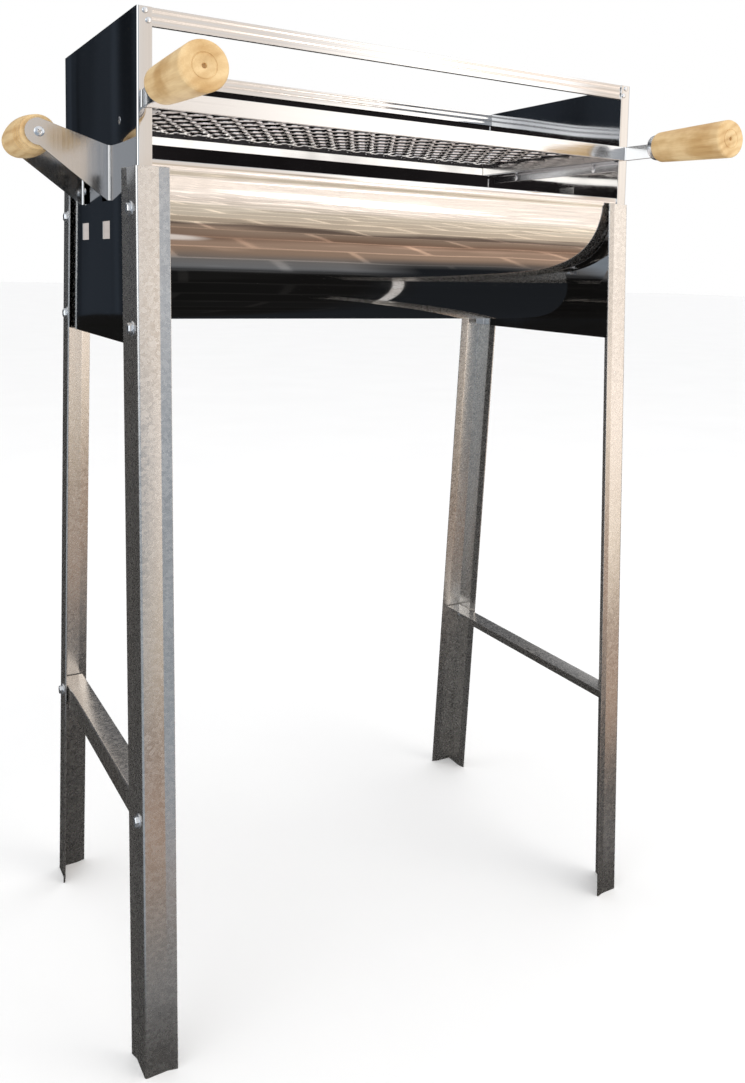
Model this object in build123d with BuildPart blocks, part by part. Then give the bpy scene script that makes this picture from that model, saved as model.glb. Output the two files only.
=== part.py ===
"""Free-standing half-drum charcoal barbecue with a pull-out grate, in millimetres.

+X is to the right, +Y to the back, +Z up.  The origin lies on the floor, in the middle
of the whole object's outline.  The body is a polished stainless trough between two end
panels; four galvanised angle legs carry it, splayed to the front and to the back.
"""
import os

from build123d import *

# ---------------------------------------------------------------- driving dimensions
BODY_WIDTH = 500.0
BODY_DEPTH = 262.0
BODY_HEIGHT = 262.0
TOTAL_HEIGHT = 860.0
SHEET = 1.2
FLANGE = 12.0

TROUGH_SHEET = 1.0
RIM_DROP = 115.0
RIM_HEM_HEIGHT = 8.0
RIM_HEM_DEPTH = 2.4
TROUGH_CENTRE_DROP = 118.0

RAIL_HEIGHT = 14.0
RAIL_DEPTH = 5.0
RAIL_SHEET = 1.0
RAIL_BEAD = 0.8

LEG_SHEET = 1.5
LEG_DROP = 121.0
LEG_SIDE_FLANGE = 26.0
LEG_END_FLANGE = 18.0
LEG_LIP = 8.0
LEG_LIP_FLARE = 2.2
FRONT_SPLAY = 26.0
BACK_SPLAY = 55.0

BRACE_TOP = 222.0
BRACE_LEG = 20.0
BRACE_SHEET = 1.5
BRACE_END_GAP = 1.5

GRATE_TOP_DROP = 62.5
BAR_HEIGHT = 14.0
BAR_THICKNESS = 2.5
BAR_STANDOFF = 0.5
GRATE_SIDE_GAP = 2.0
GRATE_BACK_GAP = 8.0
MESH_THICKNESS = 2.0
MESH_LONG_PITCH = 46.0
MESH_SHORT_PITCH = 23.2
MESH_STRAND = 2.8

HANDLE_INSET = 5.0
HANDLE_RISE = 2.5
TANG_LENGTH = 43.0
TANG_BURIED = 45.0
FERRULE_RADIUS = 12.5
FERRULE_LENGTH = 9.0
HANDLE_LENGTH = 92.0
HANDLE_ROOT_RADIUS = 14.5
HANDLE_END_RADIUS = 17.25
HANDLE_ROUND = 2.5
END_RING_RADIUS = 8.5
END_RING_WIDTH = 1.0
END_RING_DEPTH = 1.0
END_HOLE_RADIUS = 1.8
END_HOLE_DEPTH = 12.0

LEDGE_SIZE = 9.0
LEDGE_FRONT = 4.0
LEDGE_BACK = 246.0

ARM_SHEET = 1.5
ARM_FRONT = 86.0
ARM_BACK = 184.0
ARM_FLANGE = 25.0
ARM_ROOT_LOW_DROP = 144.5
ARM_ROOT_HIGH_DROP = 98.5
ARM_REACH = 55.0
ARM_EYE_DROP = 92.5
ARM_EYE_RADIUS = 11.0
GRIP_END_RADIUS = 14.0
GRIP_MIDDLE_RADIUS = 17.0
GRIP_GROOVE_RADIUS = 1.0
GRIP_GROOVE_SPACING = 7.0
GRIP_GROOVE_COUNT = 3

SLOT_LENGTH = 24.0
SLOT_HEIGHT = 15.0
SLOT_DROP = 169.0
SLOT_PLACES = (98.0, 176.0)

BOLT_RADIUS = 2.5
BOLT_HEAD_RADIUS = 4.6
BOLT_HEAD_HEIGHT = 3.5
NUT_HEIGHT = 4.0
BOLT_TAIL = 3.0
LEG_BOLT_DROPS = (154.0, 248.0)
FRONT_BOLT_INSET = 15.0
BACK_BOLT_INSET = 18.0
BRACE_BOLT_INSET = 12.0

RIVET_RADIUS = 1.6
RIVET_HEAD_RADIUS = 3.2
RIVET_HEAD_HEIGHT = 1.2
RAIL_RIVET_HEAD_RADIUS = 2.4
SCREW_RADIUS = 2.2
SCREW_LENGTH = 18.0
SCREW_HEAD_RADIUS = 5.2
SCREW_HEAD_HEIGHT = 2.6

# ---------------------------------------------------------------- worked-out places
LEG_TOP = TOTAL_HEIGHT - LEG_DROP
BODY_BOTTOM = TOTAL_HEIGHT - BODY_HEIGHT
HANDLE_REACH = BAR_STANDOFF + BAR_THICKNESS + TANG_LENGTH + FERRULE_LENGTH + HANDLE_LENGTH
BACK_REACH = BODY_DEPTH + LEG_SHEET + BACK_SPLAY + LEG_LIP_FLARE
FRONT = (HANDLE_REACH - BACK_REACH) / 2
BACK = FRONT + BODY_DEPTH
LEFT = -BODY_WIDTH / 2
PANEL_INSIDE = LEFT + SHEET
FLANGE_EDGE = LEFT + FLANGE

TROUGH_MIDDLE = FRONT + BODY_DEPTH / 2
TROUGH_RADIUS = BODY_DEPTH / 2 - SHEET
TROUGH_AXIS = TOTAL_HEIGHT - TROUGH_CENTRE_DROP
RIM_TOP = TOTAL_HEIGHT - RIM_DROP
TROUGH_LENGTH = BODY_WIDTH - 2 * SHEET

GRATE_TOP = TOTAL_HEIGHT - GRATE_TOP_DROP
BAR_BOTTOM = GRATE_TOP - BAR_HEIGHT
BAR_BACK_FACE = FRONT - BAR_STANDOFF
BAR_FRONT_FACE = BAR_BACK_FACE - BAR_THICKNESS
GRATE_LEFT = FLANGE_EDGE + GRATE_SIDE_GAP
GRATE_BACK = BACK - SHEET - TROUGH_SHEET - GRATE_BACK_GAP
HANDLE_X = LEFT + HANDLE_INSET
HANDLE_Z = (GRATE_TOP + BAR_BOTTOM) / 2 + HANDLE_RISE
FERRULE_FRONT = BAR_FRONT_FACE - TANG_LENGTH
HANDLE_ROOT = FERRULE_FRONT - FERRULE_LENGTH
HANDLE_END = HANDLE_ROOT - HANDLE_LENGTH

EYE_X = LEFT - ARM_REACH
EYE_Z = TOTAL_HEIGHT - ARM_EYE_DROP
ARM_PLANES = {"front": FRONT + ARM_FRONT, "rear": FRONT + ARM_BACK}
GRIP_START = ARM_PLANES["front"] + ARM_SHEET
GRIP_STOP = ARM_PLANES["rear"] - ARM_SHEET

ALONG_X = (0, 90, 0)
ALONG_Y = (90, 0, 0)

os.makedirs("parts", exist_ok=True)


# ---------------------------------------------------------------- shared helpers
def write(piece, name):
    """Label one finished piece and write its STEP file."""
    piece.part.label = name
    export_step(piece.part, f"parts/{name}.step")


def write_pair(piece, name):
    """Write a left-hand piece and its mirror image on the right."""
    write(piece, f"{name}_left")
    with BuildPart() as twin:
        mirror(piece.part, about=Plane.YZ)
    write(twin, f"{name}_right")


def leg_corner(end, height):
    """Y of a leg's outer corner line at a height above the floor."""
    fall = (LEG_TOP - height) / LEG_TOP
    if end == "front":
        return FRONT - LEG_SHEET - FRONT_SPLAY * fall
    return BACK + LEG_SHEET + BACK_SPLAY * fall


def bolt_place(end, height, inset):
    """Y and Z of a bolt that passes through a leg's side flange."""
    step = inset if end == "front" else -inset
    return leg_corner(end, height) + step, height


def leg_bolt_places(end):
    """The two bolts that hold one leg to its end panel."""
    inset = FRONT_BOLT_INSET if end == "front" else BACK_BOLT_INSET
    return [bolt_place(end, TOTAL_HEIGHT - drop, inset) for drop in LEG_BOLT_DROPS]


def brace_bolt_place(end):
    """The bolt that holds one end of a brace to a leg."""
    return bolt_place(end, BRACE_TOP - BRACE_LEG / 2, BRACE_BOLT_INSET)


def cross_holes(places, x, radius):
    """Cut round holes along X through the piece being built."""
    with Locations(*[Location((x, y, z), ALONG_X) for y, z in places]):
        Cylinder(radius, 2 * FLANGE, mode=Mode.SUBTRACT)


def arm_rivet_places(where):
    """The two rivets of one carrying-handle arm."""
    step = ARM_SHEET + ARM_FLANGE / 2
    y = ARM_PLANES[where] + (step if where == "front" else -step)
    low = TOTAL_HEIGHT - ARM_ROOT_LOW_DROP
    high = TOTAL_HEIGHT - ARM_ROOT_HIGH_DROP
    quarter = (high - low) / 4
    return [(y, low + quarter), (y, high - quarter)]


def ledge_rivet_places():
    """The two rivets of one grate ledge."""
    z = BAR_BOTTOM - LEDGE_SIZE / 2 - SHEET / 2
    inset = (LEDGE_BACK - LEDGE_FRONT) / 5
    return [(FRONT + LEDGE_FRONT + inset, z), (FRONT + LEDGE_BACK - inset, z)]


def rail_rivet_places():
    """X and Z of the two rivets at the left end of each top rail."""
    return [(LEFT + 6.5, TOTAL_HEIGHT - 3.2), (LEFT + 9.0, TOTAL_HEIGHT - 10.4)]


def rail_holes():
    """Cut the top rails' rivet holes through the piece being built."""
    places = [(side * x, z) for side in (1, -1) for x, z in rail_rivet_places()]
    with Locations(*[Location((x, TROUGH_MIDDLE, z), ALONG_Y) for x, z in places]):
        Cylinder(RIVET_RADIUS, 2 * BODY_DEPTH, mode=Mode.SUBTRACT)


# ---------------------------------------------------------------- end panels
with BuildPart() as end_panel:
    with BuildSketch(Plane.XY.offset(BODY_BOTTOM)):
        with BuildLine():
            Polyline(
                (FLANGE_EDGE, FRONT),
                (LEFT, FRONT),
                (LEFT, BACK),
                (FLANGE_EDGE, BACK),
            )
            offset(amount=SHEET, side=Side.RIGHT, kind=Kind.INTERSECTION)
        make_face()
    extrude(amount=BODY_HEIGHT)
    with Locations(*[(LEFT, FRONT + place, TOTAL_HEIGHT - SLOT_DROP) for place in SLOT_PLACES]):
        Box(2 * FLANGE, SLOT_LENGTH, SLOT_HEIGHT, mode=Mode.SUBTRACT)
    cross_holes(leg_bolt_places("front") + leg_bolt_places("back"), LEFT, BOLT_RADIUS)
    cross_holes(arm_rivet_places("front") + arm_rivet_places("rear"), LEFT, RIVET_RADIUS)
    cross_holes(ledge_rivet_places(), LEFT, RIVET_RADIUS)
    rail_holes()
write_pair(end_panel, "end_panel")

# ---------------------------------------------------------------- trough and back wall
with BuildPart() as trough_sheet:
    with BuildSketch(Plane.YZ.offset(-TROUGH_LENGTH / 2)):
        with BuildLine():
            front_lip = Line(
                (TROUGH_MIDDLE - TROUGH_RADIUS, RIM_TOP),
                (TROUGH_MIDDLE - TROUGH_RADIUS, TROUGH_AXIS),
            )
            drum = ThreePointArc(
                front_lip @ 1,
                (TROUGH_MIDDLE, TROUGH_AXIS - TROUGH_RADIUS),
                (TROUGH_MIDDLE + TROUGH_RADIUS, TROUGH_AXIS),
            )
            Line(drum @ 1, (TROUGH_MIDDLE + TROUGH_RADIUS, TOTAL_HEIGHT - RAIL_SHEET))
            offset(amount=TROUGH_SHEET, side=Side.LEFT, kind=Kind.INTERSECTION)
        make_face()
    extrude(amount=TROUGH_LENGTH)
    hem_front = FRONT + SHEET
    with Locations((0, hem_front, RIM_TOP)):
        Box(
            TROUGH_LENGTH,
            RIM_HEM_DEPTH,
            RIM_HEM_HEIGHT,
            align=(Align.CENTER, Align.MIN, Align.MAX),
        )
    rail_holes()
write(trough_sheet, "trough_sheet")


# ---------------------------------------------------------------- top rails
def rail_channel(face, depth):
    """Fold line of a channel that opens downwards, from its outer face inwards."""
    return [
        (face, TOTAL_HEIGHT - RAIL_HEIGHT),
        (face, TOTAL_HEIGHT),
        (face + depth, TOTAL_HEIGHT),
        (face + depth, TOTAL_HEIGHT - RAIL_HEIGHT),
    ]


with BuildPart() as front_top_rail:
    with BuildSketch(Plane.YZ.offset(-TROUGH_LENGTH / 2)):
        with BuildLine():
            Polyline(*rail_channel(FRONT + SHEET, RAIL_DEPTH))
            offset(amount=RAIL_SHEET, side=Side.RIGHT, kind=Kind.INTERSECTION)
        make_face()
    extrude(amount=TROUGH_LENGTH)
    for bead_drop in (RAIL_HEIGHT / 3, 2 * RAIL_HEIGHT / 3):
        with Locations(Location((0, FRONT + SHEET + RAIL_SHEET, TOTAL_HEIGHT - bead_drop), ALONG_X)):
            Cylinder(RAIL_BEAD, TROUGH_LENGTH)
    rail_holes()
write(front_top_rail, "front_top_rail")

with BuildPart() as back_top_rail:
    with BuildSketch(Plane.YZ.offset(-TROUGH_LENGTH / 2)):
        with BuildLine():
            Polyline(*rail_channel(BACK - SHEET - TROUGH_SHEET, -RAIL_DEPTH))
            offset(amount=RAIL_SHEET, side=Side.LEFT, kind=Kind.INTERSECTION)
        make_face()
    extrude(amount=TROUGH_LENGTH)
    with Locations((0, BACK - SHEET, TOTAL_HEIGHT)):
        Box(
            TROUGH_LENGTH,
            2 * TROUGH_SHEET,
            RAIL_SHEET,
            align=(Align.CENTER, Align.MAX, Align.MAX),
        )
    rail_holes()
write(back_top_rail, "back_top_rail")


# ---------------------------------------------------------------- legs
def leg_angle(end, inward):
    """Fold line of a leg at the floor, its two free edges flared outwards."""
    corner = leg_corner(end, 0)
    outer = LEFT - LEG_SHEET
    return [
        (outer - LEG_LIP_FLARE, corner + inward * (LEG_SIDE_FLANGE + LEG_LIP)),
        (outer, corner + inward * LEG_SIDE_FLANGE),
        (outer, corner),
        (outer + LEG_END_FLANGE, corner),
        (outer + LEG_END_FLANGE + LEG_LIP, corner - inward * LEG_LIP_FLARE),
    ]


for end, inward, fold_side in (("front", 1, Side.LEFT), ("back", -1, Side.RIGHT)):
    lean = leg_corner(end, LEG_TOP) - leg_corner(end, 0)
    with BuildPart() as leg:
        with BuildSketch():
            with BuildLine():
                Polyline(*leg_angle(end, inward))
                offset(amount=LEG_SHEET, side=fold_side, kind=Kind.INTERSECTION)
            make_face()
        extrude(amount=(LEG_TOP**2 + lean**2) ** 0.5, dir=(0, lean, LEG_TOP))
        cross_holes(leg_bolt_places(end) + [brace_bolt_place(end)], LEFT, BOLT_RADIUS)
    write_pair(leg, f"leg_{end}")

# ---------------------------------------------------------------- side braces
with BuildPart() as side_brace:
    brace_front = leg_corner("front", BRACE_TOP) + LEG_SHEET + BRACE_END_GAP
    brace_back = leg_corner("back", BRACE_TOP) - LEG_SHEET - BRACE_END_GAP
    with BuildSketch(Plane.XZ.offset(-brace_front)):
        with BuildLine():
            Polyline(
                (LEFT, BRACE_TOP - BRACE_LEG),
                (LEFT, BRACE_TOP),
                (LEFT + BRACE_LEG, BRACE_TOP),
            )
            offset(amount=BRACE_SHEET, side=Side.RIGHT, kind=Kind.INTERSECTION)
        make_face()
    extrude(amount=brace_front - brace_back)
    cross_holes([brace_bolt_place("front"), brace_bolt_place("back")], LEFT, BOLT_RADIUS)
write_pair(side_brace, "side_brace")

# ---------------------------------------------------------------- grate ledges
with BuildPart() as grate_ledge:
    with BuildSketch(Plane.XZ.offset(-(FRONT + LEDGE_FRONT))):
        with BuildLine():
            Polyline(
                (PANEL_INSIDE, BAR_BOTTOM - LEDGE_SIZE),
                (PANEL_INSIDE, BAR_BOTTOM),
                (GRATE_LEFT + LEDGE_SIZE / 2, BAR_BOTTOM),
            )
            offset(amount=SHEET, side=Side.RIGHT, kind=Kind.INTERSECTION)
        make_face()
    extrude(amount=LEDGE_FRONT - LEDGE_BACK)
    cross_holes(ledge_rivet_places(), PANEL_INSIDE, RIVET_RADIUS)
write_pair(grate_ledge, "grate_ledge")

# ---------------------------------------------------------------- carrying handles
for where, inward in (("front", 1), ("rear", -1)):
    plane_y = ARM_PLANES[where]
    low = TOTAL_HEIGHT - ARM_ROOT_LOW_DROP
    high = TOTAL_HEIGHT - ARM_ROOT_HIGH_DROP
    with BuildPart() as carry_arm:
        with BuildSketch(Plane.XZ.offset(-plane_y)):
            with Locations((EYE_X, EYE_Z)):
                Circle(ARM_EYE_RADIUS)
            with Locations((LEFT - ARM_SHEET / 2, (low + high) / 2)):
                Rectangle(ARM_SHEET, high - low)
            make_hull()
        extrude(amount=-inward * ARM_SHEET)
        flange_middle = plane_y + inward * (ARM_SHEET + ARM_FLANGE) / 2
        with Locations((LEFT - ARM_SHEET / 2, flange_middle, (low + high) / 2)):
            Box(ARM_SHEET, ARM_FLANGE + ARM_SHEET, high - low)
        with Locations(Location((EYE_X, plane_y, EYE_Z), ALONG_Y)):
            Cylinder(SCREW_RADIUS, ARM_FLANGE, mode=Mode.SUBTRACT)
        cross_holes(arm_rivet_places(where), LEFT, RIVET_RADIUS)
    write_pair(carry_arm, f"carry_arm_{where}")

with BuildPart() as carry_grip:
    grip_middle = (GRIP_START + GRIP_STOP) / 2
    with BuildSketch(Plane((EYE_X, 0, EYE_Z), x_dir=(0, 1, 0), z_dir=(1, 0, 0))):
        with BuildLine():
            barrel = ThreePointArc(
                (GRIP_START, GRIP_END_RADIUS),
                (grip_middle, GRIP_MIDDLE_RADIUS),
                (GRIP_STOP, GRIP_END_RADIUS),
            )
            Polyline(barrel @ 1, (GRIP_STOP, 0), (GRIP_START, 0), barrel @ 0)
        make_face()
        for number in range(1, GRIP_GROOVE_COUNT + 1):
            step = number * GRIP_GROOVE_SPACING
            groove_radius = (barrel @ (step / (GRIP_STOP - GRIP_START))).Y
            with Locations((GRIP_START + step, groove_radius), (GRIP_STOP - step, groove_radius)):
                Circle(GRIP_GROOVE_RADIUS, mode=Mode.SUBTRACT)
    revolve(axis=Axis((EYE_X, 0, EYE_Z), (0, 1, 0)))
    for end_face in (GRIP_START, GRIP_STOP):
        with Locations(Location((EYE_X, end_face, EYE_Z), ALONG_Y)):
            Cylinder(SCREW_RADIUS, 2 * SCREW_LENGTH, mode=Mode.SUBTRACT)
write_pair(carry_grip, "carry_grip")


# ---------------------------------------------------------------- grate
with BuildPart() as grate_front_bar:
    tang_end = FERRULE_FRONT - TANG_BURIED
    tang_x = HANDLE_X + BAR_THICKNESS / 2
    with BuildSketch(Plane.XY.offset(BAR_BOTTOM)):
        with BuildLine():
            Polyline(
                (HANDLE_X - BAR_THICKNESS / 2, tang_end),
                (HANDLE_X - BAR_THICKNESS / 2, BAR_BACK_FACE),
                (-HANDLE_X + BAR_THICKNESS / 2, BAR_BACK_FACE),
                (-HANDLE_X + BAR_THICKNESS / 2, tang_end),
            )
            offset(amount=BAR_THICKNESS, side=Side.RIGHT, kind=Kind.INTERSECTION)
        make_face()
    extrude(amount=BAR_HEIGHT)
write(grate_front_bar, "grate_front_bar")

with BuildPart() as grate_side_bar:
    with Locations((GRATE_LEFT, BAR_BACK_FACE, BAR_BOTTOM)):
        Box(
            BAR_THICKNESS,
            GRATE_BACK - BAR_BACK_FACE,
            BAR_HEIGHT,
            align=(Align.MIN, Align.MIN, Align.MIN),
        )
write_pair(grate_side_bar, "grate_side_bar")

with BuildPart() as grate_rear_bar:
    with Locations((0, GRATE_BACK, BAR_BOTTOM)):
        Box(
            2 * (-GRATE_LEFT - BAR_THICKNESS),
            BAR_THICKNESS,
            BAR_HEIGHT,
            align=(Align.CENTER, Align.MAX, Align.MIN),
        )
write(grate_rear_bar, "grate_rear_bar")

with BuildPart() as grate_mesh:
    mesh_width = 2 * (-GRATE_LEFT - BAR_THICKNESS)
    mesh_depth = GRATE_BACK - BAR_THICKNESS - BAR_BACK_FACE
    mesh_middle = (GRATE_BACK - BAR_THICKNESS + BAR_BACK_FACE) / 2
    columns = int(mesh_width // MESH_SHORT_PITCH)
    rows = int(mesh_depth // MESH_LONG_PITCH)
    half_long = MESH_LONG_PITCH / 2 - MESH_STRAND
    half_short = MESH_SHORT_PITCH / 2 - MESH_STRAND / 2
    with BuildSketch(Plane.XY.offset(GRATE_TOP - MESH_THICKNESS)):
        with Locations((0, mesh_middle)):
            Rectangle(mesh_width, mesh_depth)
            for shift in (0, 1):
                with GridLocations(MESH_SHORT_PITCH, MESH_LONG_PITCH, columns - shift, rows - shift):
                    Polygon(
                        (-half_short, 0),
                        (0, -half_long),
                        (half_short, 0),
                        (0, half_long),
                        align=None,
                        mode=Mode.SUBTRACT,
                    )
    extrude(amount=MESH_THICKNESS)
write(grate_mesh, "grate_mesh")

# ---------------------------------------------------------------- grate handles
handle_profile = Plane((HANDLE_X, 0, HANDLE_Z), x_dir=(0, 1, 0), z_dir=(1, 0, 0))
handle_axis = Axis((HANDLE_X, 0, HANDLE_Z), (0, 1, 0))


def tang_slot():
    """Cut the flat tang's room out of the piece being built."""
    with Locations((HANDLE_X, FERRULE_FRONT - TANG_BURIED, BAR_BOTTOM)):
        Box(
            BAR_THICKNESS,
            2 * TANG_BURIED,
            BAR_HEIGHT,
            align=(Align.CENTER, Align.MIN, Align.MIN),
            mode=Mode.SUBTRACT,
        )


with BuildPart() as handle_ferrule:
    with Locations(Location((HANDLE_X, FERRULE_FRONT - FERRULE_LENGTH / 2, HANDLE_Z), ALONG_Y)):
        Cylinder(FERRULE_RADIUS, FERRULE_LENGTH)
    tang_slot()
write_pair(handle_ferrule, "handle_ferrule")

with BuildPart() as handle_grip:
    with BuildSketch(handle_profile):
        with BuildLine():
            Polyline(
                (HANDLE_ROOT, 0),
                (HANDLE_ROOT, HANDLE_ROOT_RADIUS),
                (HANDLE_END, HANDLE_END_RADIUS),
                (HANDLE_END, 0),
                close=True,
            )
        make_face()
        with Locations((HANDLE_END, END_RING_RADIUS)):
            Rectangle(2 * END_RING_DEPTH, END_RING_WIDTH, mode=Mode.SUBTRACT)
    revolve(axis=handle_axis)
    end_edge = edges().filter_by(GeomType.CIRCLE).group_by(Axis.Y)[0].sort_by(SortBy.RADIUS)[-1]
    fillet(end_edge, HANDLE_ROUND)
    with Locations(Location((HANDLE_X, HANDLE_END, HANDLE_Z), ALONG_Y)):
        Cylinder(END_HOLE_RADIUS, 2 * END_HOLE_DEPTH, mode=Mode.SUBTRACT)
    tang_slot()
write_pair(handle_grip, "handle_grip")


# ---------------------------------------------------------------- fasteners
def bolt_set(places, clamp_start, clamp_stop):
    """Hex bolts along X on both sides of the object, heads outwards."""
    length = clamp_stop + NUT_HEIGHT + BOLT_TAIL - clamp_start
    with BuildPart() as bolts:
        for y, z in places:
            with BuildSketch(Plane((clamp_start, y, z), x_dir=(0, 0, 1), z_dir=(1, 0, 0))):
                RegularPolygon(BOLT_HEAD_RADIUS, 6)
            extrude(amount=-BOLT_HEAD_HEIGHT)
            with Locations(Location((clamp_start + length / 2, y, z), ALONG_X)):
                Cylinder(BOLT_RADIUS, length)
        mirror(about=Plane.YZ)
    return bolts


def nut_set(places, face):
    """The nuts of a bolt set, on both sides of the object."""
    with BuildPart() as nuts:
        for y, z in places:
            with BuildSketch(Plane((face, y, z), x_dir=(0, 0, 1), z_dir=(1, 0, 0))):
                RegularPolygon(BOLT_HEAD_RADIUS, 6)
                Circle(BOLT_RADIUS, mode=Mode.SUBTRACT)
            extrude(amount=NUT_HEIGHT)
        mirror(about=Plane.YZ)
    return nuts


def rivet_set(places, clamp_start, clamp_stop):
    """Rivets along X on both sides of the object, with a head at each end."""
    heads = (clamp_start - RIVET_HEAD_HEIGHT / 2, clamp_stop + RIVET_HEAD_HEIGHT / 2)
    with BuildPart() as rivets:
        for y, z in places:
            with Locations(*[Location((x, y, z), ALONG_X) for x in heads]):
                Cylinder(RIVET_HEAD_RADIUS, RIVET_HEAD_HEIGHT)
            with Locations(Location(((clamp_start + clamp_stop) / 2, y, z), ALONG_X)):
                Cylinder(RIVET_RADIUS, clamp_stop - clamp_start)
        mirror(about=Plane.YZ)
    return rivets


leg_places = leg_bolt_places("front") + leg_bolt_places("back")
brace_places = [brace_bolt_place("front"), brace_bolt_place("back")]
arm_places = arm_rivet_places("front") + arm_rivet_places("rear")
leg_outside = LEFT - LEG_SHEET

write(bolt_set(leg_places, leg_outside, PANEL_INSIDE), "leg_bolts")
write(nut_set(leg_places, PANEL_INSIDE), "leg_nuts")
write(bolt_set(brace_places, leg_outside, LEFT + BRACE_SHEET), "brace_bolts")
write(nut_set(brace_places, LEFT + BRACE_SHEET), "brace_nuts")
write(rivet_set(arm_places, LEFT - ARM_SHEET, PANEL_INSIDE), "carry_arm_rivets")
write(rivet_set(ledge_rivet_places(), LEFT, PANEL_INSIDE + SHEET), "ledge_rivets")

with BuildPart() as rail_rivets:
    for outside, inward, clamp in (
        (FRONT, 1, SHEET + RAIL_SHEET),
        (BACK, -1, SHEET + TROUGH_SHEET + RAIL_SHEET),
    ):
        for x, z in rail_rivet_places():
            with Locations(Location((x, outside - inward * RIVET_HEAD_HEIGHT / 2, z), ALONG_Y)):
                Cylinder(RAIL_RIVET_HEAD_RADIUS, RIVET_HEAD_HEIGHT)
            with Locations(Location((x, outside + inward * clamp / 2, z), ALONG_Y)):
                Cylinder(RIVET_RADIUS, clamp)
    mirror(about=Plane.YZ)
write(rail_rivets, "rail_rivets")

with BuildPart() as carry_grip_screws:
    for face, inward in ((ARM_PLANES["front"], 1), (ARM_PLANES["rear"], -1)):
        with Locations(Location((EYE_X, face - inward * SCREW_HEAD_HEIGHT / 2, EYE_Z), ALONG_Y)):
            Cylinder(SCREW_HEAD_RADIUS, SCREW_HEAD_HEIGHT)
        with Locations(Location((EYE_X, face + inward * SCREW_LENGTH / 2, EYE_Z), ALONG_Y)):
            Cylinder(SCREW_RADIUS, SCREW_LENGTH)
    mirror(about=Plane.YZ)
write(carry_grip_screws, "carry_grip_screws")
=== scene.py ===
"""Looks of the free-standing charcoal barbecue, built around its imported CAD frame.

Everything is in metres, in the CAD's own frame: +X right, +Y back, +Z up.
"""
import math
from itertools import product

import bmesh
import bpy
from mathutils import Matrix, Vector


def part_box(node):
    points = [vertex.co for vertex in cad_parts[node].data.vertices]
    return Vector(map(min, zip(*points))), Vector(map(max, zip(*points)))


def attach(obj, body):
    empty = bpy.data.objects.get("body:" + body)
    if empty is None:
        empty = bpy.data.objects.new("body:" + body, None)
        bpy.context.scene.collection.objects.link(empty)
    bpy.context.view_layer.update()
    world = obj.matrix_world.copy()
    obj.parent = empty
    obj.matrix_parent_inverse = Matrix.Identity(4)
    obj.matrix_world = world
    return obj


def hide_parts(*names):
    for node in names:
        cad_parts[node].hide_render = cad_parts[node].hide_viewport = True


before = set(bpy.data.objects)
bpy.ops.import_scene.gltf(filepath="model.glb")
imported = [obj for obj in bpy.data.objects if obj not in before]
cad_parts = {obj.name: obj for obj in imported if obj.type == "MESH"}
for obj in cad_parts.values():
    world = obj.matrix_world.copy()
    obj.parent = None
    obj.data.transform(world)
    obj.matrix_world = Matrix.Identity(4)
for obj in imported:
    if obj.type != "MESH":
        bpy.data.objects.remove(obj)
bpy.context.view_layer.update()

MM = 0.001

# ------------ camera
CAMERA_PLACE = (-0.4615, -0.8975, 0.6646)
CAMERA_TURN = math.radians(33.64)
CAMERA_PITCH = math.radians(-5.22)
CAMERA_ROLL = math.radians(1.69)
CAMERA_LENS = 33.62
CAMERA_SENSOR = 36
CAMERA_SHIFT = (-0.1029, -0.1635)


def new_object(name, data):
    """A new object in the scene, showing some data."""
    thing = bpy.data.objects.new(name, data)
    bpy.context.scene.collection.objects.link(thing)
    return thing


def make_camera():
    """The photograph's viewpoint."""
    data = bpy.data.cameras.new("camera")
    data.sensor_width = CAMERA_SENSOR
    data.lens = CAMERA_LENS
    data.shift_x, data.shift_y = CAMERA_SHIFT
    camera = new_object("camera", data)
    turn = Matrix.Rotation(-CAMERA_TURN, 4, "Z")
    pitch = Matrix.Rotation(math.pi / 2 + CAMERA_PITCH, 4, "X")
    roll = Matrix.Rotation(CAMERA_ROLL, 4, "Z")
    camera.matrix_world = Matrix.Translation(CAMERA_PLACE) @ turn @ pitch @ roll
    bpy.context.scene.camera = camera


# ------------ node helpers
def put(tree, kind, values=None, **settings):
    """Add one shader node; values are numbers, colours or sockets to link."""
    node = tree.nodes.new(kind)
    for key, value in settings.items():
        setattr(node, key, value)
    for key, value in (values or {}).items():
        if isinstance(value, bpy.types.NodeSocket):
            tree.links.new(value, node.inputs[key])
        else:
            node.inputs[key].default_value = value
    return node


def maths(tree, operation, first, second=0.0):
    """One Math node's result."""
    return put(tree, "ShaderNodeMath", {0: first, 1: second}, operation=operation).outputs[0]


def vector_maths(tree, operation, first, second=(0, 0, 0), result="Vector"):
    """One Vector Math node's result."""
    return put(tree, "ShaderNodeVectorMath", {0: first, 1: second}, operation=operation).outputs[result]


def ramp(tree, factor, *stops):
    """A ColorRamp's colour, from (position, colour) stops."""
    node = put(tree, "ShaderNodeValToRGB", {0: factor})
    elements = node.color_ramp.elements
    while len(elements) < len(stops):
        elements.new(1.0)
    for element, (position, colour) in zip(elements, stops):
        element.position = position
        element.color = (*colour, 1.0) if len(colour) == 3 else colour
    return node.outputs[0]


def grey(value):
    """A grey colour."""
    return (value, value, value)


def noise(tree, place, scale, detail=3.0, stretch=(1, 1, 1)):
    """A noise texture's value, with the coordinates stretched first."""
    settings = {"Vector": vector_maths(tree, "MULTIPLY", place, stretch), "Scale": scale, "Detail": detail}
    return put(tree, "ShaderNodeTexNoise", settings).outputs[0]


def blend_colour(tree, factor, first, second, mode="MIX"):
    """Two colours mixed."""
    values = {0: factor, 6: first, 7: second}
    return put(tree, "ShaderNodeMix", values, data_type="RGBA", blend_type=mode).outputs[2]


def tinted(tree, colour, tint):
    """A colour multiplied by another."""
    return blend_colour(tree, 1.0, colour, tint, "MULTIPLY")


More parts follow.
